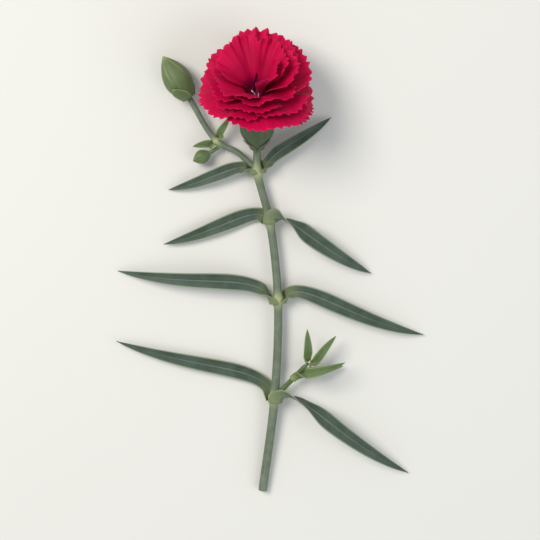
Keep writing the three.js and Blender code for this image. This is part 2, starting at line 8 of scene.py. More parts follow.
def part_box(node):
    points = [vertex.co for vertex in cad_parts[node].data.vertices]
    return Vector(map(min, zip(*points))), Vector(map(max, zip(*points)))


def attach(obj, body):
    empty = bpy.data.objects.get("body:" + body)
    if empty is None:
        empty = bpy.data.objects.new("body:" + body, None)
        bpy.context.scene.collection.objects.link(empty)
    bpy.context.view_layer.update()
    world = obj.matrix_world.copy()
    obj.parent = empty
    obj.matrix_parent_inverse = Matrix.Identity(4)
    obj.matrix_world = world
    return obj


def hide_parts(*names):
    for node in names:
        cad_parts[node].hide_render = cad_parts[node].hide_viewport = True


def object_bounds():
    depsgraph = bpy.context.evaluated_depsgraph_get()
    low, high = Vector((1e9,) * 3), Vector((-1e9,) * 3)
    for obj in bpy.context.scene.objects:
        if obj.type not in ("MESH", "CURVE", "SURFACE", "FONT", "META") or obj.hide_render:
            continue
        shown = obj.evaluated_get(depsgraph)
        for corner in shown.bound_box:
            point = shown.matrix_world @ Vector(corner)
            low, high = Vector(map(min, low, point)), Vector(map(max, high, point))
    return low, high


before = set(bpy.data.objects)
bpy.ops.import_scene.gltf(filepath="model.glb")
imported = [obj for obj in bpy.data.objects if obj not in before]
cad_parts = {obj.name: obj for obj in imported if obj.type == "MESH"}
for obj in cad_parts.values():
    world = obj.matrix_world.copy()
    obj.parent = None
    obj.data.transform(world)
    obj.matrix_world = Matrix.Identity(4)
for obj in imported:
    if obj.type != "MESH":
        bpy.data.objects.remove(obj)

CAD_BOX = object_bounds()

# A cut carnation lying on a pale surface. Lengths are millimetres and angles degrees until a
# mesh is made; the driving sizes are those of the CAD model.
MM = 0.001
CLEARANCE = 0.3

# Main stem; its internodes are listed from the flower down
STEM_RADIUS = 1.3
PEDICEL_RADIUS = 1.15
NODE_SWELLING = 0.75
NODE_HALF_LENGTH = 1.6
INTERNODE_LENGTHS = [15, 24, 30, 29]
INTERNODE_HEADINGS = [104, 96, 88, 83]
PEDICEL_LENGTH = 8
PEDICEL_RISE = 0.3
FLOWER_ELEVATION = 42

# Calyx, its teeth and the bracts round its base
CALYX_LENGTH = 16.5
CALYX_RADIUS = 5
CALYX_BASE_RADIUS = 1.9
CALYX_WALL = 0.45
CALYX_FLOOR = 1.2
TOOTH_COUNT = 5
TOOTH_LENGTH = 3.4
TOOTH_FLARE = 0.5
EPICALYX_COUNT = 4
EPICALYX_LENGTH = 6.5
EPICALYX_HALF_ANGLE = 36
BRACT_THICKNESS = 0.4

# Petals, in whorls from the outermost in: the outer ones bend down to a skirt and the inner
# ones stand up.
PETAL_PLACES = 20
WHORL_SIZE = 5
EMPTY_PLACES = [15, 17, 19]
PETAL_THICKNESS = 0.3
CLAW_LENGTH = 12
CLAW_HALF_WIDTH = 0.8
MOUTH_ABOVE_TUBE = 1.7
STAGGERED_LAYERS = 6
NESTED_LAYERS = 3.6
BEND_LENGTH = 6
OUTER_LIMB = {"length": 18.3, "bend": 116, "curl": 12, "half_angle": 50}
INNER_LIMB = {"length": 14.6, "bend": 22, "curl": 8, "half_angle": 54}
RIM_ROUNDING = 0.14
RIM_LEAN = 0.14
SIDE_SHORTENING = 0.09
FACE_TILT = 9
SKIRT_DROOP = 10
OUTER_NARROWING = 20
INNER_NARROWING = 4
FLUTE_ANGLE = 3
FLUTE_COUNT = 7

# Ovary and styles
OVARY_RADIUS = 1.4
OVARY_LENGTH = 8
OVARY_BASE_RADIUS = 0.9
OVARY_WIDEST = 0.4
STYLE_RADIUS = 0.3
STYLE_REACH = 5
STYLE_SPREAD = 0.8

# Leaves; the last four are shares of the leaf's length or of its arch
LEAF_THICKNESS = 0.6
CLASP_CLEARANCE = 0.45
CLASP_HALF_ANGLE = 78
CLASP_LENGTH = 5
CHANNEL_HALF_ANGLE = 26
LEAF_REACH = 0.9
LEAF_RISE = 0.2
LEAF_SHOULDER = 0.5
SHOULDER_LIFT = 1.3

# Side stem with its buds, and the young shoot
SIDE_STEM_RADIUS = 0.85
SIDE_NODE_SWELLING = 0.4
SIDE_STEM_LENGTHS = [15, 15]
SIDE_STEM_HEADINGS = [143, 122]
BUD_LENGTH = 14.5
BUD_RADIUS = 4.2
BUD_BASE_RADIUS = 1.6
BUD_WIDEST = 0.42
BUD_BRACT_COUNT = 2
BUD_BRACT_LENGTH = 5
BUD_BRACT_HALF_ANGLE = 60
SMALL_BUD_LENGTH = 5.5
SMALL_BUD_RADIUS = 2.1
SMALL_BUD_BASE_RADIUS = 0.7
SMALL_BUD_WIDEST = 0.45
SMALL_STALK_LENGTH = 2.6
SMALL_STALK_RADIUS = 0.55
SMALL_BUD_HEADING = 206
SMALL_STALK_BELOW_FORK = 2.4
SHOOT_LENGTH = 11
SHOOT_RADIUS = 0.75
SHOOT_ANGLE = 38
LOWER_SHOOT_NODE = 0.4
SHOOT_RISE = 0.15
SHOOT_START_LIFT = 0.6

# Worked out from the sizes above
NODE_RADIUS = STEM_RADIUS + NODE_SWELLING
CLASP_RADIUS = NODE_RADIUS + CLASP_CLEARANCE + LEAF_THICKNESS / 2
NODE_HEIGHT = CLASP_RADIUS + LEAF_THICKNESS / 2
AXIL_HEIGHT = NODE_HALF_LENGTH * 2.2
AXIL_GAP = CLEARANCE * 1.5
CALYX_INNER_RADIUS = CALYX_RADIUS - CALYX_WALL
OUTER_CLAW_RADIUS = CALYX_INNER_RADIUS - CLEARANCE - PETAL_THICKNESS / 2
MOUTH_HEIGHT = CALYX_LENGTH + MOUTH_ABOVE_TUBE
PETAL_LAYER = PETAL_THICKNESS + CLEARANCE
INNER_CLAW_RADIUS = OUTER_CLAW_RADIUS - NESTED_LAYERS * PETAL_LAYER
MOUTH_STAGGER = STAGGERED_LAYERS * PETAL_LAYER

# Leaves of each main node, from the flower down: side is the place round the stem, heading
# the direction of the tip, arch and tip are heights above the surface.
LEAF_FIELDS = ("name", "side", "heading", "length", "width", "arch", "tip")
NODE_LEAVES = [
    [("leaf_1_right", -8, 36, 30, 4.6, 5, 0.8), ("leaf_1_left", 172, 192, 30, 4.6, 3, 0.8)],
    [("leaf_2_right", 68, -28, 38, 5.8, 9, 0.8), ("leaf_2_left", 248, 193, 36, 5.2, 2, 1.5)],
    [("leaf_3_right", -12, -14, 50, 5.4, 7, 0.8), ("leaf_3_left", 168, 170, 54, 5.4, 7, 0.8)],
    [("leaf_4_right", 66, -30, 52, 5.6, 10, 0.8), ("leaf_4_left", 246, 160, 56, 5.2, 2.5, 2)],
]
SIDE_BRACTS = [
    ("side_bract_left", 185, 192, 8, 2.4, 4, 4),
    ("side_bract_right", 5, 62, 9, 2.4, 5, 5),
]
LOWER_SHOOT_LEAVES = [
    ("shoot_leaf_1", 100, 20, 18, 3.4, 10, 9),
    ("shoot_leaf_2", 280, 12, 17, 3.2, 3, 2),
]
UPPER_SHOOT_LEAVES = [
    ("shoot_leaf_3", 10, 45, 13, 2.8, 6, 6),
    ("shoot_leaf_4", 190, 92, 12, 2.8, 7, 9),
]

UP = np.array([0.0, 0.0, 1.0])
FLOWER_AXIS = np.array(
    [0, math.cos(math.radians(FLOWER_ELEVATION)), math.sin(math.radians(FLOWER_ELEVATION))]
)


# Small helpers ----------------------------------------------


def ease(value):
    held = np.clip(value, 0, 1)
    return held * held * (3 - 2 * held)


def mix(a, b, share):
    return a + (b - a) * share


def unit(vectors):
    vectors = np.asarray(vectors, float)
    length = np.linalg.norm(vectors, axis=-1, keepdims=True)
    return vectors / np.maximum(length, 1e-12)


def heading_vector(degrees):
    return np.array([math.cos(math.radians(degrees)), math.sin(math.radians(degrees)), 0.0])


def around_axis(radius, azimuth, height):
    """Points at a radius, an azimuth and a height round the Z axis."""
    return np.stack(
        np.broadcast_arrays(radius * np.cos(azimuth), radius * np.sin(azimuth), height), -1
    )


def turned_to(direction):
    """Rotation matrix that takes the Z axis to a direction by the shortest turn."""
    return np.array(Vector((0, 0, 1)).rotation_difference(Vector(direction)).to_matrix())


class Path:
    """A smooth curve as a dense polyline, read by its share of the length."""

    def __init__(self, points):
        self.points = np.asarray(points, float)
        steps = np.linalg.norm(np.diff(self.points, axis=0), axis=1)
        self.distances = np.concatenate([[0], np.cumsum(steps)])
        self.length = self.distances[-1]
        self.knots = []

    def at(self, shares):
        wanted = np.asarray(shares, float) * self.length
        return np.stack([np.interp(wanted, self.distances, c) for c in self.points.T], -1)

    def tangent(self, shares):
        step = 0.004
        shares = np.asarray(shares, float)
        ahead, behind = np.minimum(shares + step, 1), np.maximum(shares - step, 0)
        return unit(self.at(ahead) - self.at(behind))


def smooth_path(knots, samples=60):
    """Centripetal Catmull-Rom curve through the knots."""
    knots = np.asarray(knots, float)
    first, last = 2 * knots[0] - knots[1], 2 * knots[-1] - knots[-2]
    row = np.vstack([first, knots, last])
    points, marks = [], [0]
    for k in range(1, len(row) - 2):
        spans = [np.linalg.norm(row[k + n] - row[k + n - 1]) ** 0.5 for n in (0, 1, 2)]
        leave = tangent_between(row[k - 1], row[k], row[k + 1], spans[0], spans[1]) * spans[1]
        arrive = tangent_between(row[k], row[k + 1], row[k + 2], spans[1], spans[2]) * spans[1]
        t = np.linspace(0, 1, samples + 1)[:, None]
        cubic = 2 * row[k] - 2 * row[k + 1] + leave + arrive
        square = -3 * row[k] + 3 * row[k + 1] - 2 * leave - arrive
        piece = row[k] + leave * t + square * t**2 + cubic * t**3
        points.append(piece if k == 1 else piece[1:])
        marks.append(marks[-1] + samples)
    path = Path(np.vstack(points))
    path.knots = [path.distances[mark] / path.length for mark in marks]
    return path


def tangent_between(before, here, after, span_before, span_after):
    whole = span_before + span_after
    return (here - before) / span_before - (after - before) / whole + (after - here) / span_after


def bezier_path(a, b, c, d, samples=200):
    t = np.linspace(0, 1, samples + 1)[:, None]
    return Path(
        a * (1 - t) ** 3 + 3 * b * t * (1 - t) ** 2 + 3 * c * t**2 * (1 - t) + d * t**3
    )


def stem_frame(path, knot):
    """Place of a knot and the directions along the stem, to its right and over it."""
    share = path.knots[knot]
    growing = path.tangent(share)
    right = unit(np.cross(growing, UP))
    return {
        "place": path.at(share),
        "growing": growing,
        "right": right,
        "over": unit(np.cross(right, growing)),
    }


# Meshes -----------------------------------------------------

# Each mesh carries a UV map (across, along) and a colour attribute, "marks", for its material.
# Red is 1 on the lower face of a sheet and on a rod's flat ends, green is 1 where the tissue
# turns pale or bright, such as a free edge, a midrib, a seam or a stem's node.


def finished_mesh(name, vertices, quads, triangles, uvs, marks, material):
    mesh = bpy.data.meshes.new(name)
    faces = [tuple(q) for q in quads] + [tuple(t) for t in triangles]
    mesh.from_pydata((SHIFT + vertices * MM).tolist(), [], faces)
    corner_vertex = np.empty(len(mesh.loops), dtype=np.int32)
    mesh.loops.foreach_get("vertex_index", corner_vertex)
    layer = mesh.uv_layers.new(name="across_along")
    layer.data.foreach_set("uv", uvs[corner_vertex].astype(np.float32).ravel())
    colour = mesh.color_attributes.new("marks", "FLOAT_COLOR", "POINT")
    blue_and_alpha = np.broadcast_to([0.0, 1.0], marks.shape)
    values = np.hstack([marks, blue_and_alpha]).astype(np.float32)
    colour.data.foreach_set("color", values.ravel())
    mesh.polygons.foreach_set("use_smooth", [True] * len(mesh.polygons))
    mesh.materials.append(material)
    mesh.update()
    piece = bpy.data.objects.new(name, mesh)
    bpy.context.collection.objects.link(piece)
    return piece


def grid_normals(points):
    lengthwise = np.gradient(points, axis=0)
    crosswise = np.gradient(points, axis=1)
    return unit(np.cross(lengthwise, crosswise))


def sheet_piece(name, points, across, along, thickness, material, edge):
    """A closed thin sheet from a grid of middle points; the rest may vary over the grid."""
    rows, columns = shape = points.shape[:2]
    half = np.broadcast_to(thickness, shape)[..., None] / 2
    normals = grid_normals(points)
    vertices = np.concatenate(
        [(points + normals * half).reshape(-1, 3), (points - normals * half).reshape(-1, 3)]
    )
    index = np.arange(rows * columns).reshape(rows, columns)
    below = rows * columns
    a, b = index[:-1, :-1].ravel(), index[:-1, 1:].ravel()
    c, d = index[1:, 1:].ravel(), index[1:, :-1].ravel()
    top = np.stack([a, d, c, b], 1)
    bottom = np.stack([a, b, c, d], 1) + below
    ring = np.concatenate([index[0, :-1], index[:-1, -1], index[-1, :0:-1], index[:0:-1, 0]])
    after = np.roll(ring, -1)
    sides = np.stack([ring, after, after + below, ring + below], 1)
    quads = np.concatenate([top, bottom, sides])
    if signed_volume(vertices, quads) < 0:
        quads = quads[:, ::-1]
    crosswise, lengthwise = (np.broadcast_to(part, shape).ravel() for part in (across, along))
    uv = np.stack([crosswise / 2 + 0.5, lengthwise], 1)
    edges = np.broadcast_to(edge, shape).ravel()
    upper = np.stack([np.zeros(below), edges], 1)
    lower = np.stack([np.ones(below), edges], 1)
    return finished_mesh(
        name, vertices, quads, [], np.vstack([uv, uv]), np.vstack([upper, lower]), material
    )


def signed_volume(vertices, quads):
    a, b, c, d = (vertices[quads[:, n]] for n in range(4))
    return float((a * np.cross(b, c)).sum() + (a * np.cross(c, d)).sum())


def ring_piece(name, rings, material, along, edge=0.0, cut=None):
    """A closed solid from a stack of closed rings, with a fan at each end."""
    count, sides = rings.shape[:2]
    hubs = np.stack([rings[0].mean(0), rings[-1].mean(0)])
    vertices = np.concatenate([rings.reshape(-1, 3), hubs])
    index = np.arange(count * sides).reshape(count, sides)
    beside = np.roll(index, -1, axis=1)
    quads = np.stack(
        [index[:-1].ravel(), beside[:-1].ravel(), beside[1:].ravel(), index[1:].ravel()], 1
    )
    first = np.stack([beside[0], index[0], np.full(sides, count * sides)], 1)
    last = np.stack([index[-1], beside[-1], np.full(sides, count * sides + 1)], 1)
    triangles = np.concatenate([first, last])
    if signed_volume(vertices, quads) < 0:
        quads, triangles = quads[:, ::-1], triangles[:, ::-1]
    around = np.broadcast_to(np.arange(sides) / sides, (count, sides))
    lengthwise = np.broadcast_to(along[:, None], (count, sides))
    uv = np.stack([around.ravel(), lengthwise.ravel()], 1)
    uv = np.vstack([uv, [[0.5, along[0]], [0.5, along[-1]]]])
    edges = np.broadcast_to(edge, (count, sides))
    cuts = np.zeros(count) if cut is None else cut
    marks = np.stack([np.repeat(cuts, sides), edges.ravel()], 1)
    marks = np.vstack([marks, [cuts[0], 0], [cuts[-1], 0]])
    return finished_mesh(name, vertices, quads, triangles, uv, marks, material)


def path_frames(path, shares):
    """Normals and binormals that turn as little as they can along the path."""
    tangents = path.tangent(shares)
    normal = unit(np.cross(tangents[0], UP if abs(tangents[0][2]) < 0.9 else [1, 0, 0]))
    normals = [normal]
    for tangent in tangents[1:]:
        normal = unit(normal - tangent * (normal @ tangent))
        normals.append(normal)
    normals = np.array(normals)
    return normals, np.cross(tangents, normals)


RIDGE_COUNT = 8
CAP_SIZES = (0.5, 0.93)


def cap_rings(centre, ring):
    """Rings of a rod's flat end, from the middle out."""
    return np.array([centre + (ring - centre) * size for size in CAP_SIZES])


def rod_piece(name, path, radius_at, material, steps, sides, mark_at=None, ridges=0.0):
    """A round rod along a path, with shallow ridges and flat ends."""
    shares = np.linspace(0, 1, steps + 1)
    normals, binormals = path_frames(path, shares)
    angle = 2 * np.pi * np.arange(sides) / sides
    radius = np.asarray(radius_at(shares * path.length), float)[:, None]
    radius = radius * (1 + ridges * np.cos(RIDGE_COUNT * angle)[None, :])
    ring = binormals[:, None] * np.cos(angle)[None, :, None]
    ring = ring + normals[:, None] * np.sin(angle)[None, :, None]
    centres = path.at(shares)
    rings = centres[:, None] + ring * radius[..., None]
    first = cap_rings(centres[0], rings[0])
    last = cap_rings(centres[-1], rings[-1])[::-1]
    rings = np.concatenate([first, rings, last])
    marks = np.zeros(steps + 1) if mark_at is None else mark_at(shares * path.length)
    marks = np.pad(marks, len(CAP_SIZES))[:, None]
    cut = np.pad(np.zeros(steps + 1), len(CAP_SIZES), constant_values=1)
    along = np.pad(shares, len(CAP_SIZES), mode="edge")
    return ring_piece(name, rings, material, along, marks, cut)


def belongs(piece, node):
    """Ties a fine piece to the CAD node that it stands for."""
    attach(piece, "root")
    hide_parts(node)
    return piece


# Materials --------------------------------------------------


def srgb(red, green, blue):
    values = [v / 255 for v in (red, green, blue)]
    return [v / 12.92 if v <= 0.04045 else ((v + 0.055) / 1.055) ** 2.4 for v in values] + [1.0]


class Shader:
    """A principled material built step by step."""

    def __init__(self, name):
        self.material = bpy.data.materials.new(name)
        self.material.use_nodes = True
        self.tree = self.material.node_tree
        self.surface = self.tree.nodes["Principled BSDF"]
        self.uv = self.node("ShaderNodeUVMap", uv_map="across_along").outputs["UV"]
        marks = self.node("ShaderNodeVertexColor", layer_name="marks")
        split = self.node("ShaderNodeSeparateColor")
        self.link(marks.outputs["Color"], split.inputs["Color"])
        self.lower, self.edge = split.outputs[:2]
        place = self.node("ShaderNodeTexCoord")
        self.object_place = place.outputs["Object"]

    def node(self, kind, **settings):
        made = self.tree.nodes.new(kind)
        for key, value in settings.items():
            setattr(made, key, value)
        return made

    def link(self, source, target):
        self.tree.links.new(source, target)

    def set(self, **sockets):
        for key, value in sockets.items():
            self.surface.inputs[key.replace("_", " ")].default_value = value

    def stretched(self, vector, scale):
        mapping = self.node("ShaderNodeMapping")
        mapping.inputs["Scale"].default_value = scale
        self.link(vector, mapping.inputs["Vector"])
        return mapping.outputs["Vector"]

    def noise(self, vector, scale, detail=3.0, roughness=0.55):
        noise = self.node("ShaderNodeTexNoise")
        noise.inputs["Scale"].default_value = scale
        noise.inputs["Detail"].default_value = detail
        noise.inputs["Roughness"].default_value = roughness
        self.link(vector, noise.inputs["Vector"])
        return noise.outputs["Fac"]

    def ramp(self, factor, stops):
        ramp = self.node("ShaderNodeValToRGB")
        elements = ramp.color_ramp.elements
        ramp.color_ramp.interpolation = "EASE"
        for place, colour in stops[1:-1]:
            elements.new(place).color = colour
        elements[0].position, elements[0].color = stops[0]
        elements[len(stops) - 1].position, elements[len(stops) - 1].color = stops[-1]
        self.link(factor, ramp.inputs["Fac"])
        return ramp.outputs["Color"]

    def ranged(self, factor, **ends):
        node = self.node("ShaderNodeMapRange")
        for key, value in ends.items():
            node.inputs[key.replace("_", " ")].default_value = value
        self.link(factor, node.inputs["Value"])
        return node.outputs["Result"]

    def level(self, factor, low, high):
        """0 at low and 1 at high, held beyond them."""
        return self.ranged(factor, From_Min=low, From_Max=high)

    def spread(self, factor, low, high):
        """From low to high as the factor goes from 0 to 1."""
        return self.ranged(factor, To_Min=low, To_Max=high)

    def share_of(self, factor, share):
        node = self.node("ShaderNodeMath", operation="MULTIPLY")
        self.link(factor, node.inputs[0])
        node.inputs[1].default_value = share
        return node.outputs["Value"]

    def lengthwise(self):
        split = self.node("ShaderNodeSeparateXYZ")
        self.link(self.uv, split.inputs["Vector"])
        return split.outputs["Y"]

    def mixed(self, factor, a, b):
        # Inputs 6 and 7 and output 2 are this node's colour sockets.
        node = self.node("ShaderNodeMix", data_type="RGBA")
        for socket, value in ((node.inputs[0], factor), (node.inputs[6], a), (node.inputs[7], b)):
            if isinstance(value, (int, float, list)):
                socket.default_value = value
            else:
                self.link(value, socket)
        return node.outputs[2]

    def finish(self, colour, roughness, heights):
        """heights is a list of (height, strength, distance in millimetres)."""
        self.link(colour, self.surface.inputs["Base Color"])
        self.link(roughness, self.surface.inputs["Roughness"])
        normal = None
        for height, strength, distance in heights:
            bump = self.node("ShaderNodeBump")
            bump.inputs["Strength"].default_value = strength
            bump.inputs["Distance"].default_value = distance * MM
            self.link(height, bump.inputs["Height"])
            if normal is not None:
                self.link(normal, bump.inputs["Normal"])
            normal = bump.outputs["Normal"]
        self.link(normal, self.surface.inputs["Normal"])
        return self.material


def petal_material():
    s = Shader("petal_velvet")
    s.set(Sheen_Weight=0.04, Sheen_Roughness=0.4, Sheen_Tint=srgb(255, 40, 120))
    s.set(Subsurface_Weight=0.15, Subsurface_Scale=0.5 * MM, Subsurface_Radius=(1.0, 0.05, 0.2))
    s.set(Specular_IOR_Level=0.12)
    veins = s.noise(s.stretched(s.uv, (46, 2.2, 1)), 1.0, 4.0, 0.6)
    broad = s.noise(s.stretched(s.uv, (6, 1.2, 1)), 1.0, 2.0)
    cloud = s.noise(s.object_place, 160.0, 3.0)
    fine = s.noise(s.object_place, 2600.0)
    # The dark purple band a little way up the limb is painted shade of the bloom's deep centre; the
    # pale pink of the claw is the petal's own colour.
    limb = s.ramp(
        s.lengthwise(),
        [
            (0.0, srgb(216, 150, 180)),
            (0.09, srgb(150, 40, 96)),
            (0.2, srgb(106, 0, 56)),
            (0.42, srgb(160, 0, 54)),
            (1.0, srgb(180, 0, 60)),
        ],
    )
    streaked = s.mixed(s.level(veins, 0.35, 0.72), limb, srgb(136, 0, 40))
    upper = s.mixed(0.25, limb, streaked)
    clouded = s.mixed(s.level(cloud, 0.35, 0.7), upper, s.mixed(0.35, upper, srgb(200, 4, 72)))
    rimmed = s.mixed(s.share_of(s.edge, 0.5), clouded, srgb(204, 14, 84))
    reverse = s.mixed(s.level(veins, 0.3, 0.7), srgb(198, 40, 98), srgb(170, 16, 74))
    colour = s.mixed(s.share_of(s.lower, 0.75), rimmed, reverse)
    heights = [(veins, 0.3, 0.08), (broad, 0.3, 0.4), (fine, 0.25, 0.03)]
    return s.finish(colour, s.spread(broad, 0.5, 0.72), heights)


def leafy_material(name, blade, vein, pale, wax, sheath, vein_scale=26.0, wax_amount=0.6):
    """Green tissue with a waxy bloom, parallel veins, a pale midrib and pale margins."""
    s = Shader(name)
    s.set(Specular_IOR_Level=0.34, Sheen_Weight=0.08, Sheen_Roughness=0.5)
    s.set(Subsurface_Weight=0.08, Subsurface_Scale=0.8 * MM, Subsurface_Radius=(0.5, 1.0, 0.3))
    veins = s.noise(s.stretched(s.uv, (vein_scale, 1.2, 1)), 1.0, 3.0, 0.6)
    patches = s.noise(s.object_place, 240.0, 4.0, 0.6)
    fine = s.noise(s.object_place, 2400.0, 2.0)
    tissue = s.mixed(s.level(veins, 0.3, 0.7), blade, vein)
    waxed = s.mixed(s.share_of(s.level(patches, 0.34, 0.62), wax_amount), tissue, wax)
    margin = s.mixed(s.share_of(s.edge, 0.75), waxed, pale)
    base = s.level(s.lengthwise(), 0.16, 0.02)
    colour = s.mixed(s.share_of(base, 0.8), margin, sheath)
    heights = [(veins, 0.4, 0.1), (patches, 0.2, 0.2), (fine, 0.25, 0.04)]
    return s.finish(colour, s.spread(patches, 0.42, 0.68), heights)


def stem_material():
    s = Shader("stem_skin")
    s.set(Specular_IOR_Level=0.4)
    s.set(Subsurface_Weight=0.1, Subsurface_Scale=0.8 * MM, Subsurface_Radius=(0.6, 1.0, 0.4))
    ribs = s.noise(s.stretched(s.uv, (34, 4, 1)), 1.0, 3.0)
    patches = s.noise(s.object_place, 300.0, 4.0, 0.6)
    fine = s.noise(s.object_place, 2600.0, 2.0)
    skin = s.mixed(s.level(ribs, 0.3, 0.7), srgb(75, 86, 64), srgb(98, 110, 86))
    waxed = s.mixed(s.share_of(s.level(patches, 0.4, 0.65), 0.5), skin, srgb(114, 122, 109))
    nodes = s.mixed(s.edge, waxed, srgb(152, 158, 114))
    colour = s.mixed(s.lower, nodes, srgb(196, 204, 164))
    heights = [(ribs, 0.35, 0.12), (fine, 0.2, 0.04)]
    return s.finish(colour, s.spread(patches, 0.4, 0.62), heights)


def pale_material(name, low, high, scale):
    s = Shader(name)
    s.set(Specular_IOR_Level=0.45)
    s.set(Subsurface_Weight=0.3, Subsurface_Scale=0.6 * MM, Subsurface_Radius=(1.0, 0.5, 0.6))
    grain = s.noise(s.object_place, scale, 3.0)
    colour = s.mixed(s.level(grain, 0.3, 0.7), low, high)
    return s.finish(colour, s.spread(grain, 0.35, 0.55), [(grain, 0.3, 0.05)])


PETAL = petal_material()
LEAF = leafy_material(
    "leaf_glaucous",
    blade=srgb(38, 53, 39),
    vein=srgb(55, 70, 52),
    pale=srgb(146, 156, 128),
    wax=srgb(72, 86, 76),
    sheath=srgb(116, 127, 86),
    wax_amount=0.55,
)
YOUNG = leafy_material(
    "leaf_young",
    blade=srgb(62, 84, 38),
    vein=srgb(84, 104, 52),
    pale=srgb(136, 148, 94),
    wax=srgb(95, 113, 76),
    sheath=srgb(132, 142, 88),
)
CALYX = leafy_material(
    "calyx_skin",
    blade=srgb(48, 64, 37),
    vein=srgb(72, 86, 52),
    pale=srgb(128, 137, 99),
    wax=srgb(76, 90, 66),
    sheath=srgb(92, 102, 66),
    vein_scale=60.0,
    wax_amount=0.4,
)
BUD = leafy_material(
    "bud_skin",
    blade=srgb(68, 86, 41),
    vein=srgb(94, 109, 62),
    pale=srgb(146, 152, 102),
    wax=srgb(97, 110, 76),
    sheath=srgb(82, 96, 56),
    vein_scale=40.0,
    wax_amount=0.5,
)
STEM = stem_material()
STYLE = pale_material("style_flesh", srgb(236, 196, 212), srgb(250, 236, 240), 900.0)
OVARY = pale_material("ovary_flesh", srgb(140, 162, 98), srgb(166, 184, 122), 700.0)


# Stem -------------------------------------------------------

NODE_FULLNESS = 0.8
COLLAR_RISE = 0.12
COLLAR_HALF_LENGTH = 0.5
NECK_SHARE = 0.3


def node_places():
    """The nodes from the flower down, and the cut end."""
    places = [np.array([0.0, 0.0, NODE_HEIGHT])]
    for length, heading in zip(INTERNODE_LENGTHS, INTERNODE_HEADINGS):
        places.append(places[-1] - heading_vector(heading) * length)
    places[-1][2] = STEM_RADIUS
    return places


PLACES = node_places()
PEDICEL_ELEVATION = math.radians(FLOWER_ELEVATION * PEDICEL_RISE)
CALYX_BASE = PLACES[0] + PEDICEL_LENGTH * np.array(
    [0, math.cos(PEDICEL_ELEVATION), math.sin(PEDICEL_ELEVATION)]
)
RIGHT = np.array([1.0, 0.0, 0.0])
BLOOM_TURN = np.column_stack([RIGHT, np.cross(FLOWER_AXIS, RIGHT), FLOWER_AXIS])


def in_bloom(points):
    """From the calyx's own frame, its axis along Z, to the design frame."""
    return points @ BLOOM_TURN.T + CALYX_BASE


def stem_path():
    end = CALYX_BASE - FLOWER_AXIS * CLEARANCE
    neck = end - FLOWER_AXIS * PEDICEL_LENGTH * NECK_SHARE
    inside_calyx = end + FLOWER_AXIS * CLEARANCE * 3
    return smooth_path(PLACES[::-1] + [neck, inside_calyx])


def swellings(distance, nodes, half_length):
    """1 at each node, fading to 0 beyond its half length."""
    rise = sum(np.exp(-(((distance - node) / half_length) ** 2)) for node in nodes)
    return np.minimum(rise, 1)


def build_stem(path):
    nodes = [share * path.length for share in path.knots[1 : len(PLACES)]]
    collars = [node + COLLAR_HALF_LENGTH for node in nodes]

    def radius_at(distance):
        slender = mix(STEM_RADIUS, PEDICEL_RADIUS, ease(distance / path.length))
        knob = NODE_FULLNESS * NODE_SWELLING * swellings(distance, nodes, NODE_HALF_LENGTH)
        return slender + knob + COLLAR_RISE * swellings(distance, collars, COLLAR_HALF_LENGTH)

    def node_mark(distance):
        return swellings(distance, nodes, NODE_HALF_LENGTH * 1.3)

    stem = rod_piece(
        "stem_skin", path, radius_at, STEM, steps=420, sides=48, mark_at=node_mark, ridges=0.012
    )
    belongs(stem, "stem")


# Leaves -----------------------------------------------------

BELOW_NODE = 0.02
BASE_LEAN = 0.03
TIP_WIDTH = 0.03
TAPER_POWER = 2.8
TAPER_FULLNESS = 0.85
FOOT_WIDTH = 0.7
WIDEST_PLACE = 0.35
LONGEST_CLASP = 0.3
TURNED_PLACE = 0.2
LEVELLING_PLACES = (0.12, 0.52)
KEEL_DEPTH = 0.12
KEEL_WIDTH = 0.12
RIPPLE_RATE = 17
RIM_THICKNESS = 0.12
MIDDLE_THICKNESS = 0.5
CLASP_GAP = 0.1
MARGIN_START = 0.82
MARGIN_WIDTH = 0.12
MIDRIB_WIDTH = 0.07
MIDRIB_PALENESS = 0.6


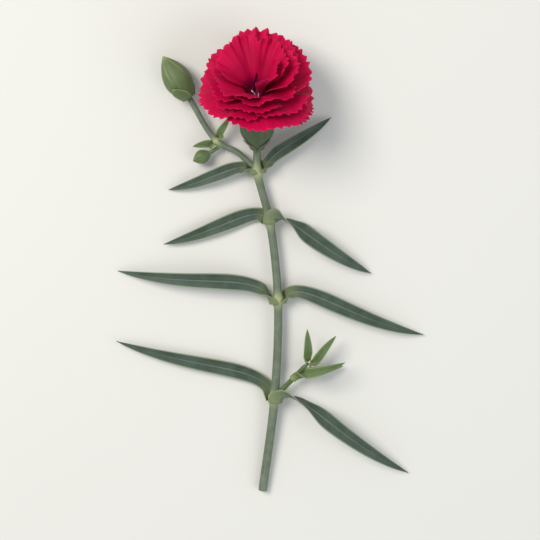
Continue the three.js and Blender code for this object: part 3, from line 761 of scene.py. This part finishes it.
def leaf_points(at_node, leaf, clasp_radius, rows, columns, wave):
    """Middle surface of a leaf: a clasp round the node that opens to an arched, keeled blade."""
    side = math.radians(leaf["side"])
    length, width = leaf["length"], leaf["width"]
    out = at_node["right"] * math.cos(side) + at_node["over"] * math.sin(side)
    base = at_node["place"] + out * clasp_radius - at_node["growing"] * BELOW_NODE * length
    rise = base + (at_node["growing"] * LEAF_RISE + out * BASE_LEAN) * length
    outward = heading_vector(leaf["heading"])
    tip = at_node["place"] + outward * length * LEAF_REACH
    tip[2] = leaf["tip"]
    shoulder = tip - outward * length * LEAF_SHOULDER
    shoulder[2] = leaf["arch"] * SHOULDER_LIFT
    path = bezier_path(base, rise, shoulder, tip)

    along = np.linspace(0, 1, rows)[:, None]
    across = np.linspace(1, -1, columns)[None, :]
    clasp_angle = math.radians(CLASP_HALF_ANGLE)
    opened = ease(along * length / min(CLASP_LENGTH, length * LONGEST_CLASP))
    taper = (1 - along**TAPER_POWER) ** TAPER_FULLNESS
    blade = (width / 2) * taper * mix(FOOT_WIDTH, 1, ease(along / WIDEST_PLACE))
    half_width = mix(clasp_radius * clasp_angle, np.maximum(blade, width * TIP_WIDTH), opened)
    half_angle = mix(clasp_angle, math.radians(CHANNEL_HALF_ANGLE), opened)
    tangent = path.tangent(along[:, 0])
    level_start, level_end = LEVELLING_PLACES
    turned = ease(along / TURNED_PLACE)
    levelled = ease((along - level_start) / (level_end - level_start))
    over_stem = float(ease((out[2] - 0.3) / 0.5))
    inner = out * (turned - 1) + at_node["growing"] * turned * (1 - levelled) * over_stem
    inner = inner + UP * mix(turned, levelled, over_stem)
    inner = unit(inner - tangent * (inner * tangent).sum(1, keepdims=True))
    crosswise = np.cross(tangent, inner)
    radius = half_width / half_angle
    points = path.at(along[:, 0])[:, None] + crosswise[:, None] * (
        radius * np.sin(across * half_angle)
    )[..., None]
    keel = KEEL_DEPTH * np.exp(-((across / KEEL_WIDTH) ** 2))
    ripple = wave * np.sin(along * RIPPLE_RATE + leaf["side"]) * across * np.abs(across)
    lift = radius * (1 - np.cos(across * half_angle)) + (ripple - keel) * opened * taper
    points = points + inner[:, None] * lift[..., None]
    return points, along, across, opened, taper


def build_leaf(at_node, leaf, clasp_radius, material, rows=150, columns=33, wave=0.12):
    points, along, across, opened, taper = leaf_points(
        at_node, leaf, clasp_radius, rows, columns, wave
    )
    thickness = mix(RIM_THICKNESS, MIDDLE_THICKNESS, (1 - across**2) ** 0.6) * mix(0.55, 1, taper)
    margin = np.clip((np.abs(across) - MARGIN_START) / MARGIN_WIDTH, 0, 1) * opened
    midrib = MIDRIB_PALENESS * np.exp(-((across / MIDRIB_WIDTH) ** 2)) * (1 - along**2)
    edge = np.maximum(margin, midrib)
    name = leaf["name"]
    belongs(
        sheet_piece(name + "_blade", points, across, along, thickness, material, edge), name
    )


def leaf_rows(rows):
    return [dict(zip(LEAF_FIELDS, row)) for row in rows]


# Calyx and bracts -------------------------------------------

COARSE_SIDES_PER_TOOTH = 6
COARSE_RINGS = 9
FINE_SIDES_PER_TOOTH = 28
FINE_RINGS = 70
SWELL_HEIGHT = 0.45
SWELL_FULLNESS = 0.8
RIB_COUNT = 35
RIB_DEPTH = 0.008
SEAM_WIDTH = 0.16
SEAM_DEPTH = 0.03
PALE_RIM = 0.9
SCALE_ROWS = 50
SCALE_COLUMNS = 33
SCALE_TAPER = 1.7
SCALE_GAP = 0.12
SCALE_TIP_LIFT = 0.25


def calyx_radius(height):
    swell = ease(np.asarray(height, float) / (CALYX_LENGTH * SWELL_HEIGHT)) ** SWELL_FULLNESS
    return mix(CALYX_BASE_RADIUS, CALYX_RADIUS, swell)


def calyx_rings(sides_per_tooth, ring_count, start=0.0):
    """Rings up the outside of the cup and down its inside, and the tooth shape round them."""
    sides = TOOTH_COUNT * sides_per_tooth
    angle = start + 2 * np.pi * np.arange(sides) / sides
    phase = angle / (2 * np.pi) * TOOTH_COUNT
    tooth = 1 - np.abs(2 * (phase - np.floor(phase)) - 1)
    rings = []
    for inset, order in ((0, 1), (CALYX_WALL, -1)):
        for share in np.linspace(0, 1, ring_count + 1)[::order]:
            bottom = CALYX_FLOOR if inset else 0
            height = mix(bottom, CALYX_LENGTH + TOOTH_LENGTH * tooth, share)
            flare = TOOTH_FLARE * np.maximum(0, (height - CALYX_LENGTH) / TOOTH_LENGTH)
            radius = np.maximum(calyx_radius(height) + flare - inset, CALYX_BASE_RADIUS / 2)
            rings.append(around_axis(radius, angle, height))
    return np.array(rings), tooth


# The calyx made as coarsely as the CAD model's shows how far its frame is from the design's.
COARSE_CALYX = in_bloom(calyx_rings(COARSE_SIDES_PER_TOOTH, COARSE_RINGS)[0]) * MM
SHIFT = np.array(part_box("calyx")[0]) - COARSE_CALYX.min((0, 1))


def build_calyx():
    rings, tooth = calyx_rings(FINE_SIDES_PER_TOOTH, FINE_RINGS, np.pi / 2)
    height = rings[..., 2]
    upwards = np.linspace(0, 1, FINE_RINGS + 1)
    shares = np.concatenate([upwards, upwards[::-1]])
    rib = 1 + RIB_DEPTH * np.cos(RIB_COUNT * np.arctan2(rings[..., 1], rings[..., 0]))
    seam = np.clip(1 - tooth / SEAM_WIDTH, 0, 1) * ease(height / CALYX_LENGTH - 0.15)
    rings[..., :2] *= (rib - SEAM_DEPTH * seam)[..., None]
    top = CALYX_LENGTH + TOOTH_LENGTH * tooth
    rim = np.clip(1 - (top - height) / PALE_RIM, 0, 1) ** 1.5
    piece = ring_piece("calyx_skin", in_bloom(rings), CALYX, shares, np.maximum(rim, seam * 0.5))
    belongs(piece, "calyx")


def build_scales(prefix, count, radius_at, length, half_angle, place, material):
    """Pointed scales that lie on a body of revolution."""
    along = np.linspace(0, 1, SCALE_ROWS)[:, None]
    across = np.linspace(1, -1, SCALE_COLUMNS)[None, :]
    spread = math.radians(half_angle) * (1 - along**SCALE_TAPER) + 0.01
    height = along * length
    radius = radius_at(height) + SCALE_GAP + BRACT_THICKNESS / 2 + SCALE_TIP_LIFT * along**3
    thickness = BRACT_THICKNESS * mix(0.35, 1, (1 - across**2) ** 0.5) * (1 - 0.6 * along)
    margin = np.clip((np.abs(across) - 0.75) / 0.25, 0, 1)
    edge = np.maximum(margin, ease((along - 0.8) / 0.2))
    for index in range(count):
        name = f"{prefix}_{index + 1}"
        azimuth = 2 * np.pi * (index + 0.5) / count + across * spread
        points = place(around_axis(radius, azimuth, height))
        piece = sheet_piece(name + "_scale", points, across, along, thickness, material, edge)
        belongs(piece, name)


# Petals -----------------------------------------------------

SEED = 29
CLAW_ROWS = 8
LIMB_ROWS = 56
PETAL_COLUMNS = 181
LENGTH_RANGE = (0.95, 1.03)
RIM_TEETH = (12, 15)
TOOTH_WIDTHS = (0.75, 1.25)
TOOTH_POINTS = (0.35, 0.65)
TOOTH_DEPTHS = (0.8, 1.1)
RIM_TOOTH_DEPTH = 1.05
FINE_TOOTH_DEPTH = 0.15
CLAW_WIDENING = 1.6
LIMB_WIDENING = 1.1
OUTER_FAN_LENGTH = 5
INNER_FAN_LENGTH = 8
CUPPING = (2, 7)
BEND_SPREAD = 1.5
CURL_SPREAD = 6
FOLD_TURNS = (1.1, 2.0)
FRILL_TURNS = (6, 8)
SECOND_FRILL_TURNS = (9, 12)
CRIMP_TURNS = (20, 26)
BROAD_FOLD = 0.5
SECOND_FOLD = 0.4
RIM_FRILL = 0.42
SECOND_FRILL = 0.6
CRIMP = 0.035
CLAW_THICKNESS = 0.26
LIMB_THICKNESS = 0.13
CLAW_UV_SHARE = 0.08
RIM_BAND = 0.07


def petal_at(place):
    """Sizes of the petal at a place in the whorls, 0 being the outermost."""
    depth = place / (PETAL_PLACES - 1)
    whorl = place // WHORL_SIZE
    turn = 2 * 360 * (place % WHORL_SIZE) / WHORL_SIZE - 180 * whorl / WHORL_SIZE
    half_angle = mix(OUTER_LIMB["half_angle"], INNER_LIMB["half_angle"], depth)
    return {
        "depth": depth,
        "azimuth": math.radians(turn),
        "claw_radius": mix(OUTER_CLAW_RADIUS, INNER_CLAW_RADIUS, depth),
        "mouth": MOUTH_STAGGER * depth,
        "length": mix(OUTER_LIMB["length"], INNER_LIMB["length"], depth),
        "bend": mix(OUTER_LIMB["bend"], INNER_LIMB["bend"], depth),
        "curl": mix(OUTER_LIMB["curl"], INNER_LIMB["curl"], depth),
        "half_angle": math.radians(half_angle * LIMB_WIDENING),
    }


def limb_profile(distance, length, bend, curl):
    """Radius and height: an arc over the bend and a flatter one beyond it."""
    bend_radius = BEND_LENGTH / bend
    bent = np.minimum(distance, BEND_LENGTH) / bend_radius
    radius, height = bend_radius * (1 - np.cos(bent)), bend_radius * np.sin(bent)
    beyond = np.maximum(distance - BEND_LENGTH, 0)
    curl_radius = (length - BEND_LENGTH) / curl
    end = bend + beyond / curl_radius
    radius = radius + curl_radius * (np.cos(bend) - np.cos(end))
    return radius, height + curl_radius * (np.sin(end) - np.sin(bend))


def rim_teeth(rng, across, finer=1):
    """Depth of the notches along the rim: 0 at each tooth's point, up to 1 between them."""
    count = rng.integers(*RIM_TEETH, endpoint=True) * finer
    marks = np.concatenate([[0], np.cumsum(rng.uniform(*TOOTH_WIDTHS, count))])
    marks = marks / marks[-1] * 2 - 1
    tooth = np.clip(np.searchsorted(marks, across, side="right") - 1, 0, count - 1)
    share = (across - marks[tooth]) / (marks[tooth + 1] - marks[tooth])
    apex = rng.uniform(*TOOTH_POINTS, count)[tooth]
    flank = np.where(share < apex, share / apex, (1 - share) / (1 - apex))
    return (1 - np.clip(flank, 0, 1) ** 0.9) * rng.uniform(*TOOTH_DEPTHS, count)[tooth]


def petal_points(place):
    """Middle surface of a petal: a narrow claw, then a limb with folds and a toothed rim."""
    petal = petal_at(place)
    rng = np.random.default_rng(SEED + place)
    claw_rows = np.linspace(-1, 0, CLAW_ROWS + 1)[:-1]
    along = np.concatenate([claw_rows, np.linspace(0, 1, LIMB_ROWS)])[:, None]
    across = np.linspace(-1, 1, PETAL_COLUMNS)[None, :]
    length = petal["length"] * rng.uniform(*LENGTH_RANGE)
    rim_azimuth = petal["azimuth"] + across * petal["half_angle"]
    lean = 1 + RIM_LEAN * np.sin(rim_azimuth) - SIDE_SHORTENING * np.cos(rim_azimuth) ** 2
    rim = length * lean * (1 - RIM_ROUNDING * across**4)
    reach = np.clip(along, 0, 1)
    notches = rim_teeth(rng, across) * RIM_TOOTH_DEPTH
    notches = (notches + FINE_TOOTH_DEPTH * rim_teeth(rng, across, finer=3)) * reach**10
    distance = np.where(along < 0, along * CLAW_LENGTH, along * rim - notches)
    limb = np.maximum(distance, 0)
    share = limb / petal["length"]

    claw_angle = CLAW_WIDENING * CLAW_HALF_WIDTH / petal["claw_radius"]
    fan_length = mix(OUTER_FAN_LENGTH, INNER_FAN_LENGTH, petal["depth"])
    spread = mix(claw_angle, petal["half_angle"], ease(limb / fan_length))
    azimuth = petal["azimuth"] + across * spread
    tilt = mix(SKIRT_DROOP, -FACE_TILT, petal["depth"]) * np.sin(azimuth)
    tilt = tilt - mix(OUTER_NARROWING, INNER_NARROWING, petal["depth"]) * np.sin(azimuth) ** 2
    flute = FLUTE_ANGLE * np.sin(FLUTE_COUNT * azimuth)
    cupping = rng.uniform(*CUPPING) * np.abs(across) ** 3 * share
    bend_change = rng.uniform(-BEND_SPREAD, BEND_SPREAD)
    bend = np.radians(petal["bend"] + tilt + flute + bend_change - cupping)
    curl = np.radians(petal["curl"] + rng.uniform(-CURL_SPREAD, CURL_SPREAD))
    outward, upward = limb_profile(limb, petal["length"], bend, curl)
    radius = petal["claw_radius"] + outward
    height = petal["mouth"] + np.where(distance < 0, distance, upward)
    points = around_axis(radius, azimuth, height)

    turns, phases = rng.uniform(*FOLD_TURNS, 3), rng.uniform(0, 2 * np.pi, 5)
    broad = np.sin(np.pi * turns[0] * across + phases[0]) * share**1.7
    broad = broad + SECOND_FOLD * np.sin(np.pi * turns[1] * 2 * across + phases[1]) * share**2.5
    frill = np.sin(np.pi * rng.uniform(*FRILL_TURNS) * across + phases[2]) * share**5
    finer = np.sin(np.pi * rng.uniform(*SECOND_FRILL_TURNS) * across + phases[3]) * share**8
    crimp = np.sin(np.pi * rng.uniform(*CRIMP_TURNS) * across + phases[4]) * share**1.5
    wave = BROAD_FOLD * broad + RIM_FRILL * (frill + SECOND_FRILL * finer) + CRIMP * crimp
    points = points + grid_normals(points) * wave[..., None]
    return points + np.array([0, 0, MOUTH_HEIGHT]), along, across, reach


def build_petals():
    places = [place for place in range(PETAL_PLACES) if place not in EMPTY_PLACES]
    for index, place in enumerate(places):
        name = f"petal_{index + 1:02d}"
        points, along, across, reach = petal_points(place)
        points = in_bloom(points)
        rim = np.clip((reach - 1 + RIM_BAND) / RIM_BAND, 0, 1) ** 2
        thickness = mix(CLAW_THICKNESS, LIMB_THICKNESS, reach**0.5) * (1 - 0.6 * rim)
        uv_along = CLAW_UV_SHARE * np.minimum(1 + along, 1) + (1 - CLAW_UV_SHARE) * reach
        piece = sheet_piece(name + "_limb", points, across, uv_along, thickness, PETAL, rim)
        belongs(piece, name)


# Pistil, and the pointed bodies of ovary and buds -----------

TIP_SHARPNESS = 1.9
SEPAL_TWIST = 0.35
SEPAL_SEAM_WIDTH = 0.07
SEPAL_SEAM_PLACES = (0.4, 0.7)
PALE_TIP_START = 0.86


def ovoid_rings(length, radius, base_radius, widest, ring_count, sides, grooves=0.0):
    """A pointed body of revolution, with grooves between the sepals of its upper part."""
    share = (1 - np.cos(np.linspace(0, np.pi, ring_count))) / 2
    lower = mix(base_radius, radius, np.sin((np.pi / 2) * np.minimum(share / widest, 1)))
    upper = np.maximum(0, (share - widest) / (1 - widest))
    profile = np.maximum(lower * (1 - upper**TIP_SHARPNESS), 0.02)
    profile[0] = base_radius / 2
    angle = np.pi / 2 + 2 * np.pi * np.arange(sides) / sides
    phase = angle / (2 * np.pi) * TOOTH_COUNT + share[:, None] * SEPAL_TWIST
    seam = np.exp(-(((phase - np.round(phase)) / SEPAL_SEAM_WIDTH) ** 2))
    seam_start, seam_full = SEPAL_SEAM_PLACES
    seam = seam * ease((share - seam_start) / (seam_full - seam_start))[:, None]
    rings = around_axis(profile[:, None] * (1 - grooves * seam), angle, share[:, None] * length)
    return rings, share, seam


def build_pistil():
    base = CALYX_FLOOR + CLEARANCE
    rings, shares, _ = ovoid_rings(
        OVARY_LENGTH, OVARY_RADIUS, OVARY_BASE_RADIUS, OVARY_WIDEST, ring_count=40, sides=32
    )
    ovary = ring_piece("ovary_body", in_bloom(rings + [0, 0, base]), OVARY, shares)
    belongs(ovary, "ovary")
    start = base + OVARY_LENGTH - MOUTH_HEIGHT
    foot = STYLE_RADIUS + CLEARANCE / 2
    for index, hand in enumerate((-1, 1)):
        spread = hand * STYLE_SPREAD
        knots = np.array(
            [
                [hand * foot * 0.6, 0, start - 0.4],
                [hand * foot, 0, start / 2],
                [hand * foot * 1.2, 0, 0],
                [spread * 0.75, -0.3, STYLE_REACH * 0.7],
                [spread * 1.5, -0.8, STYLE_REACH],
                [spread * 1.75, -1.2, STYLE_REACH + 0.65],
                [spread * 1.4, -1.55, STYLE_REACH + 0.4],
            ]
        )
        path = smooth_path(in_bloom(knots + [0, 0, MOUTH_HEIGHT]), 30)

        def radius_at(distance, whole=path.length):
            return STYLE_RADIUS * (1 - 0.55 * ease((distance / whole - 0.6) / 0.4))

        name = f"style_{index + 1}"
        style = rod_piece(name + "_thread", path, radius_at, STYLE, steps=120, sides=16)
        belongs(style, name)


# Side stem, buds and shoot ----------------------------------


def clasp_radius_on(node_radius):
    """Radius of the clasping base of a leaf, nearer its node than in the CAD model."""
    return node_radius + CLASP_GAP + MIDDLE_THICKNESS / 2


def build_side_stem(at_node):
    """The side stem from the top node's left axil, with its bracts and both buds."""
    start = at_node["place"] + at_node["growing"] * AXIL_HEIGHT
    start = start - at_node["right"] * (STEM_RADIUS + AXIL_GAP + SIDE_STEM_RADIUS)
    fork = at_node["place"] + heading_vector(SIDE_STEM_HEADINGS[0]) * SIDE_STEM_LENGTHS[0]
    fork[2] = SMALL_BUD_RADIUS + CLEARANCE * 3
    end = fork + heading_vector(SIDE_STEM_HEADINGS[1]) * SIDE_STEM_LENGTHS[1]
    end[2] = BUD_RADIUS
    early = mix(start, fork, 0.3) + at_node["growing"] * 0.8
    # It grows out of the main stem, so its rod starts inside it.
    root = at_node["place"] + at_node["growing"] * 0.6
    path = smooth_path([root, start, early, fork, end])
    fork_distance = path.knots[3] * path.length

    def radius_at(distance):
        swelling = SIDE_NODE_SWELLING * np.exp(-((distance - fork_distance) ** 2))
        return SIDE_STEM_RADIUS + swelling

    def node_mark(distance):
        return swellings(distance, [fork_distance], 1.3)

    stem = rod_piece(
        "side_stem_skin", path, radius_at, STEM, steps=200, sides=36, mark_at=node_mark, ridges=0.01
    )
    belongs(stem, "side_stem")
    at_fork = stem_frame(path, 3)
    for bract in leaf_rows(SIDE_BRACTS):
        clasp = clasp_radius_on(SIDE_STEM_RADIUS + SIDE_NODE_SWELLING)
        build_leaf(at_fork, bract, clasp, YOUNG, rows=80, columns=25, wave=0.05)
    build_bud(path.at(1.0), path.tangent(1.0))
    build_small_bud(at_fork)


def bud_radius(height):
    share = np.minimum(height / BUD_LENGTH / BUD_WIDEST, 1)
    return mix(BUD_BASE_RADIUS, BUD_RADIUS, np.sin((np.pi / 2) * share))


def build_bud(end, direction):
    turn = turned_to(direction)

    def place(points):
        return points @ turn.T + end + direction * CLEARANCE * 0.3

    rings, shares, seam = ovoid_rings(
        BUD_LENGTH, BUD_RADIUS, BUD_BASE_RADIUS, BUD_WIDEST, ring_count=90, sides=100, grooves=0.07
    )
    pale_tip = ease((shares - PALE_TIP_START) / (1 - PALE_TIP_START))[:, None]
    bud = ring_piece("bud_body", place(rings), BUD, shares, np.maximum(seam * 0.7, pale_tip))
    belongs(bud, "bud")
    build_scales(
        "bud_bract",
        BUD_BRACT_COUNT,
        bud_radius,
        BUD_BRACT_LENGTH,
        BUD_BRACT_HALF_ANGLE,
        place,
        BUD,
    )


def build_small_bud(at_node):
    direction = heading_vector(SMALL_BUD_HEADING)
    start = at_node["place"] + direction * (SIDE_STEM_RADIUS + SIDE_NODE_SWELLING + CLEARANCE)
    start = start - at_node["growing"] * SMALL_STALK_BELOW_FORK
    end = start + direction * SMALL_STALK_LENGTH
    inside_stem = start - direction * 1.2 + at_node["growing"] * 0.4
    inside_bud = end + direction * 0.6
    stalk = Path(np.linspace(inside_stem, inside_bud, 30))

    def radius_at(distance):
        return np.full(distance.shape, SMALL_STALK_RADIUS)

    piece = rod_piece("small_bud_stalk_skin", stalk, radius_at, YOUNG, steps=24, sides=20)
    belongs(piece, "small_bud_stalk")
    rings, shares, seam = ovoid_rings(
        SMALL_BUD_LENGTH,
        SMALL_BUD_RADIUS,
        SMALL_BUD_BASE_RADIUS,
        SMALL_BUD_WIDEST,
        ring_count=50,
        sides=60,
        grooves=0.06,
    )
    placed = rings @ turned_to(direction).T + end + direction * CLEARANCE / 2
    bud = ring_piece("small_bud_body", placed, YOUNG, mix(0.2, 1, shares), seam * 0.5)
    belongs(bud, "small_bud")


def build_shoot(at_node):
    """The young shoot in the lowest node's right axil."""
    angle = math.radians(SHOOT_ANGLE)
    direction = at_node["growing"] * math.cos(angle) + at_node["right"] * math.sin(angle)
    direction = unit(direction + UP * SHOOT_RISE)
    start = at_node["place"] + at_node["growing"] * AXIL_HEIGHT + UP * SHOOT_START_LIFT
    start = start + at_node["right"] * (STEM_RADIUS + AXIL_GAP + SHOOT_RADIUS)
    end = start + direction * SHOOT_LENGTH
    middle = mix(start, end, LOWER_SHOOT_NODE)
    root = at_node["place"] + at_node["growing"] * 0.8
    path = smooth_path([root, start, middle, end])
    nodes = [path.knots[2] * path.length]

    def radius_at(distance):
        fading = 1 - 0.5 * ease((distance / path.length - 0.85) / 0.15)
        return SHOOT_RADIUS * fading + 0.1 * swellings(distance, nodes, 0.8)

    shoot = rod_piece("shoot_stem_skin", path, radius_at, YOUNG, steps=110, sides=28)
    belongs(shoot, "shoot_stem")
    for knot, rows in ((2, LOWER_SHOOT_LEAVES), (3, UPPER_SHOOT_LEAVES)):
        for leaf in leaf_rows(rows):
            clasp = clasp_radius_on(SHOOT_RADIUS)
            at_knot = stem_frame(path, knot)
            build_leaf(at_knot, leaf, clasp, YOUNG, rows=90, columns=27, wave=0.08)


# Whole stem -------------------------------------------------


def build_carnation():
    path = stem_path()
    build_stem(path)
    nodes = [stem_frame(path, len(PLACES) - 1 - n) for n in range(len(PLACES) - 1)]
    for at_node, rows in zip(nodes, NODE_LEAVES):
        for leaf in leaf_rows(rows):
            build_leaf(at_node, leaf, clasp_radius_on(NODE_RADIUS), LEAF)
    build_calyx()
    build_scales(
        "epicalyx_bract",
        EPICALYX_COUNT,
        calyx_radius,
        EPICALYX_LENGTH,
        EPICALYX_HALF_ANGLE,
        in_bloom,
        CALYX,
    )
    build_petals()
    build_pistil()
    build_side_stem(nodes[0])
    build_shoot(nodes[-1])


build_carnation()


# Surface, light and camera, in metres -----------------------

FLOOR_HALF = 1.5
CAMERA_LEAN = 8
CAMERA_DISTANCE = 0.545
CAMERA_LENS = 125
SENSOR_WIDTH = 36


def build_floor():
    mesh = bpy.data.meshes.new("floor")
    corners = [(x * FLOOR_HALF, y * FLOOR_HALF, 0) for x, y in [(-1, -1), (1, -1), (1, 1), (-1, 1)]]
    mesh.from_pydata(corners, [], [(0, 1, 2, 3)])
    floor = bpy.data.objects.new("floor", mesh)
    material = bpy.data.materials.new("floor_matte")
    material.use_nodes = True
    surface = material.node_tree.nodes["Principled BSDF"]
    surface.inputs["Base Color"].default_value = srgb(206, 203, 196)
    surface.inputs["Roughness"].default_value = 0.9
    surface.inputs["Specular IOR Level"].default_value = 0.2
    mesh.materials.append(material)
    bpy.context.collection.objects.link(floor)


def look_from(place, target, up):
    """Matrix of a lamp or camera that looks from a place at a target."""
    back = unit(np.array(place, float) - np.array(target, float))
    right = unit(np.cross(up, back))
    over = np.cross(back, right)
    turn = Matrix(np.column_stack([right, over, back]).tolist()).to_4x4()
    return Matrix.Translation(place) @ turn


def area_lamp(name, place, target, size, power, colour):
    data = bpy.data.lights.new(name, "AREA")
    data.shape = "DISK"
    data.size = size
    data.energy = power
    data.color = colour
    lamp = bpy.data.objects.new(name, data)
    bpy.context.collection.objects.link(lamp)
    lamp.matrix_world = look_from(place, target, UP)


def light_scene():
    world = bpy.data.worlds.new("sky")
    bpy.context.scene.world = world
    world.use_nodes = True
    background = world.node_tree.nodes["Background"]
    background.inputs["Color"].default_value = (0.86, 0.93, 1.0, 1)
    background.inputs["Strength"].default_value = 0.68
    warm, cool = (1.0, 0.97, 0.92), (0.9, 0.95, 1.0)
    area_lamp("key", (-0.45, 0.35, 0.75), (0, 0.02, 0.01), size=0.45, power=7.6, colour=warm)
    area_lamp("fill", (0.6, -0.25, 0.6), (0, 0, 0.01), size=0.7, power=2.5, colour=cool)
    bpy.context.scene.view_settings.view_transform = "Standard"


def place_camera():
    low, high = (np.array(corner) for corner in CAD_BOX)
    target = (low + high) / 2
    lean = math.radians(CAMERA_LEAN)
    back = np.array([0, math.sin(lean), math.cos(lean)])
    camera_data = bpy.data.cameras.new("camera")
    camera_data.lens = CAMERA_LENS
    camera_data.sensor_width = SENSOR_WIDTH
    camera = bpy.data.objects.new("camera", camera_data)
    bpy.context.collection.objects.link(camera)
    camera.matrix_world = look_from(target + back * CAMERA_DISTANCE, target, (0, 1, 0))
    bpy.context.scene.camera = camera


build_floor()
light_scene()
place_camera()
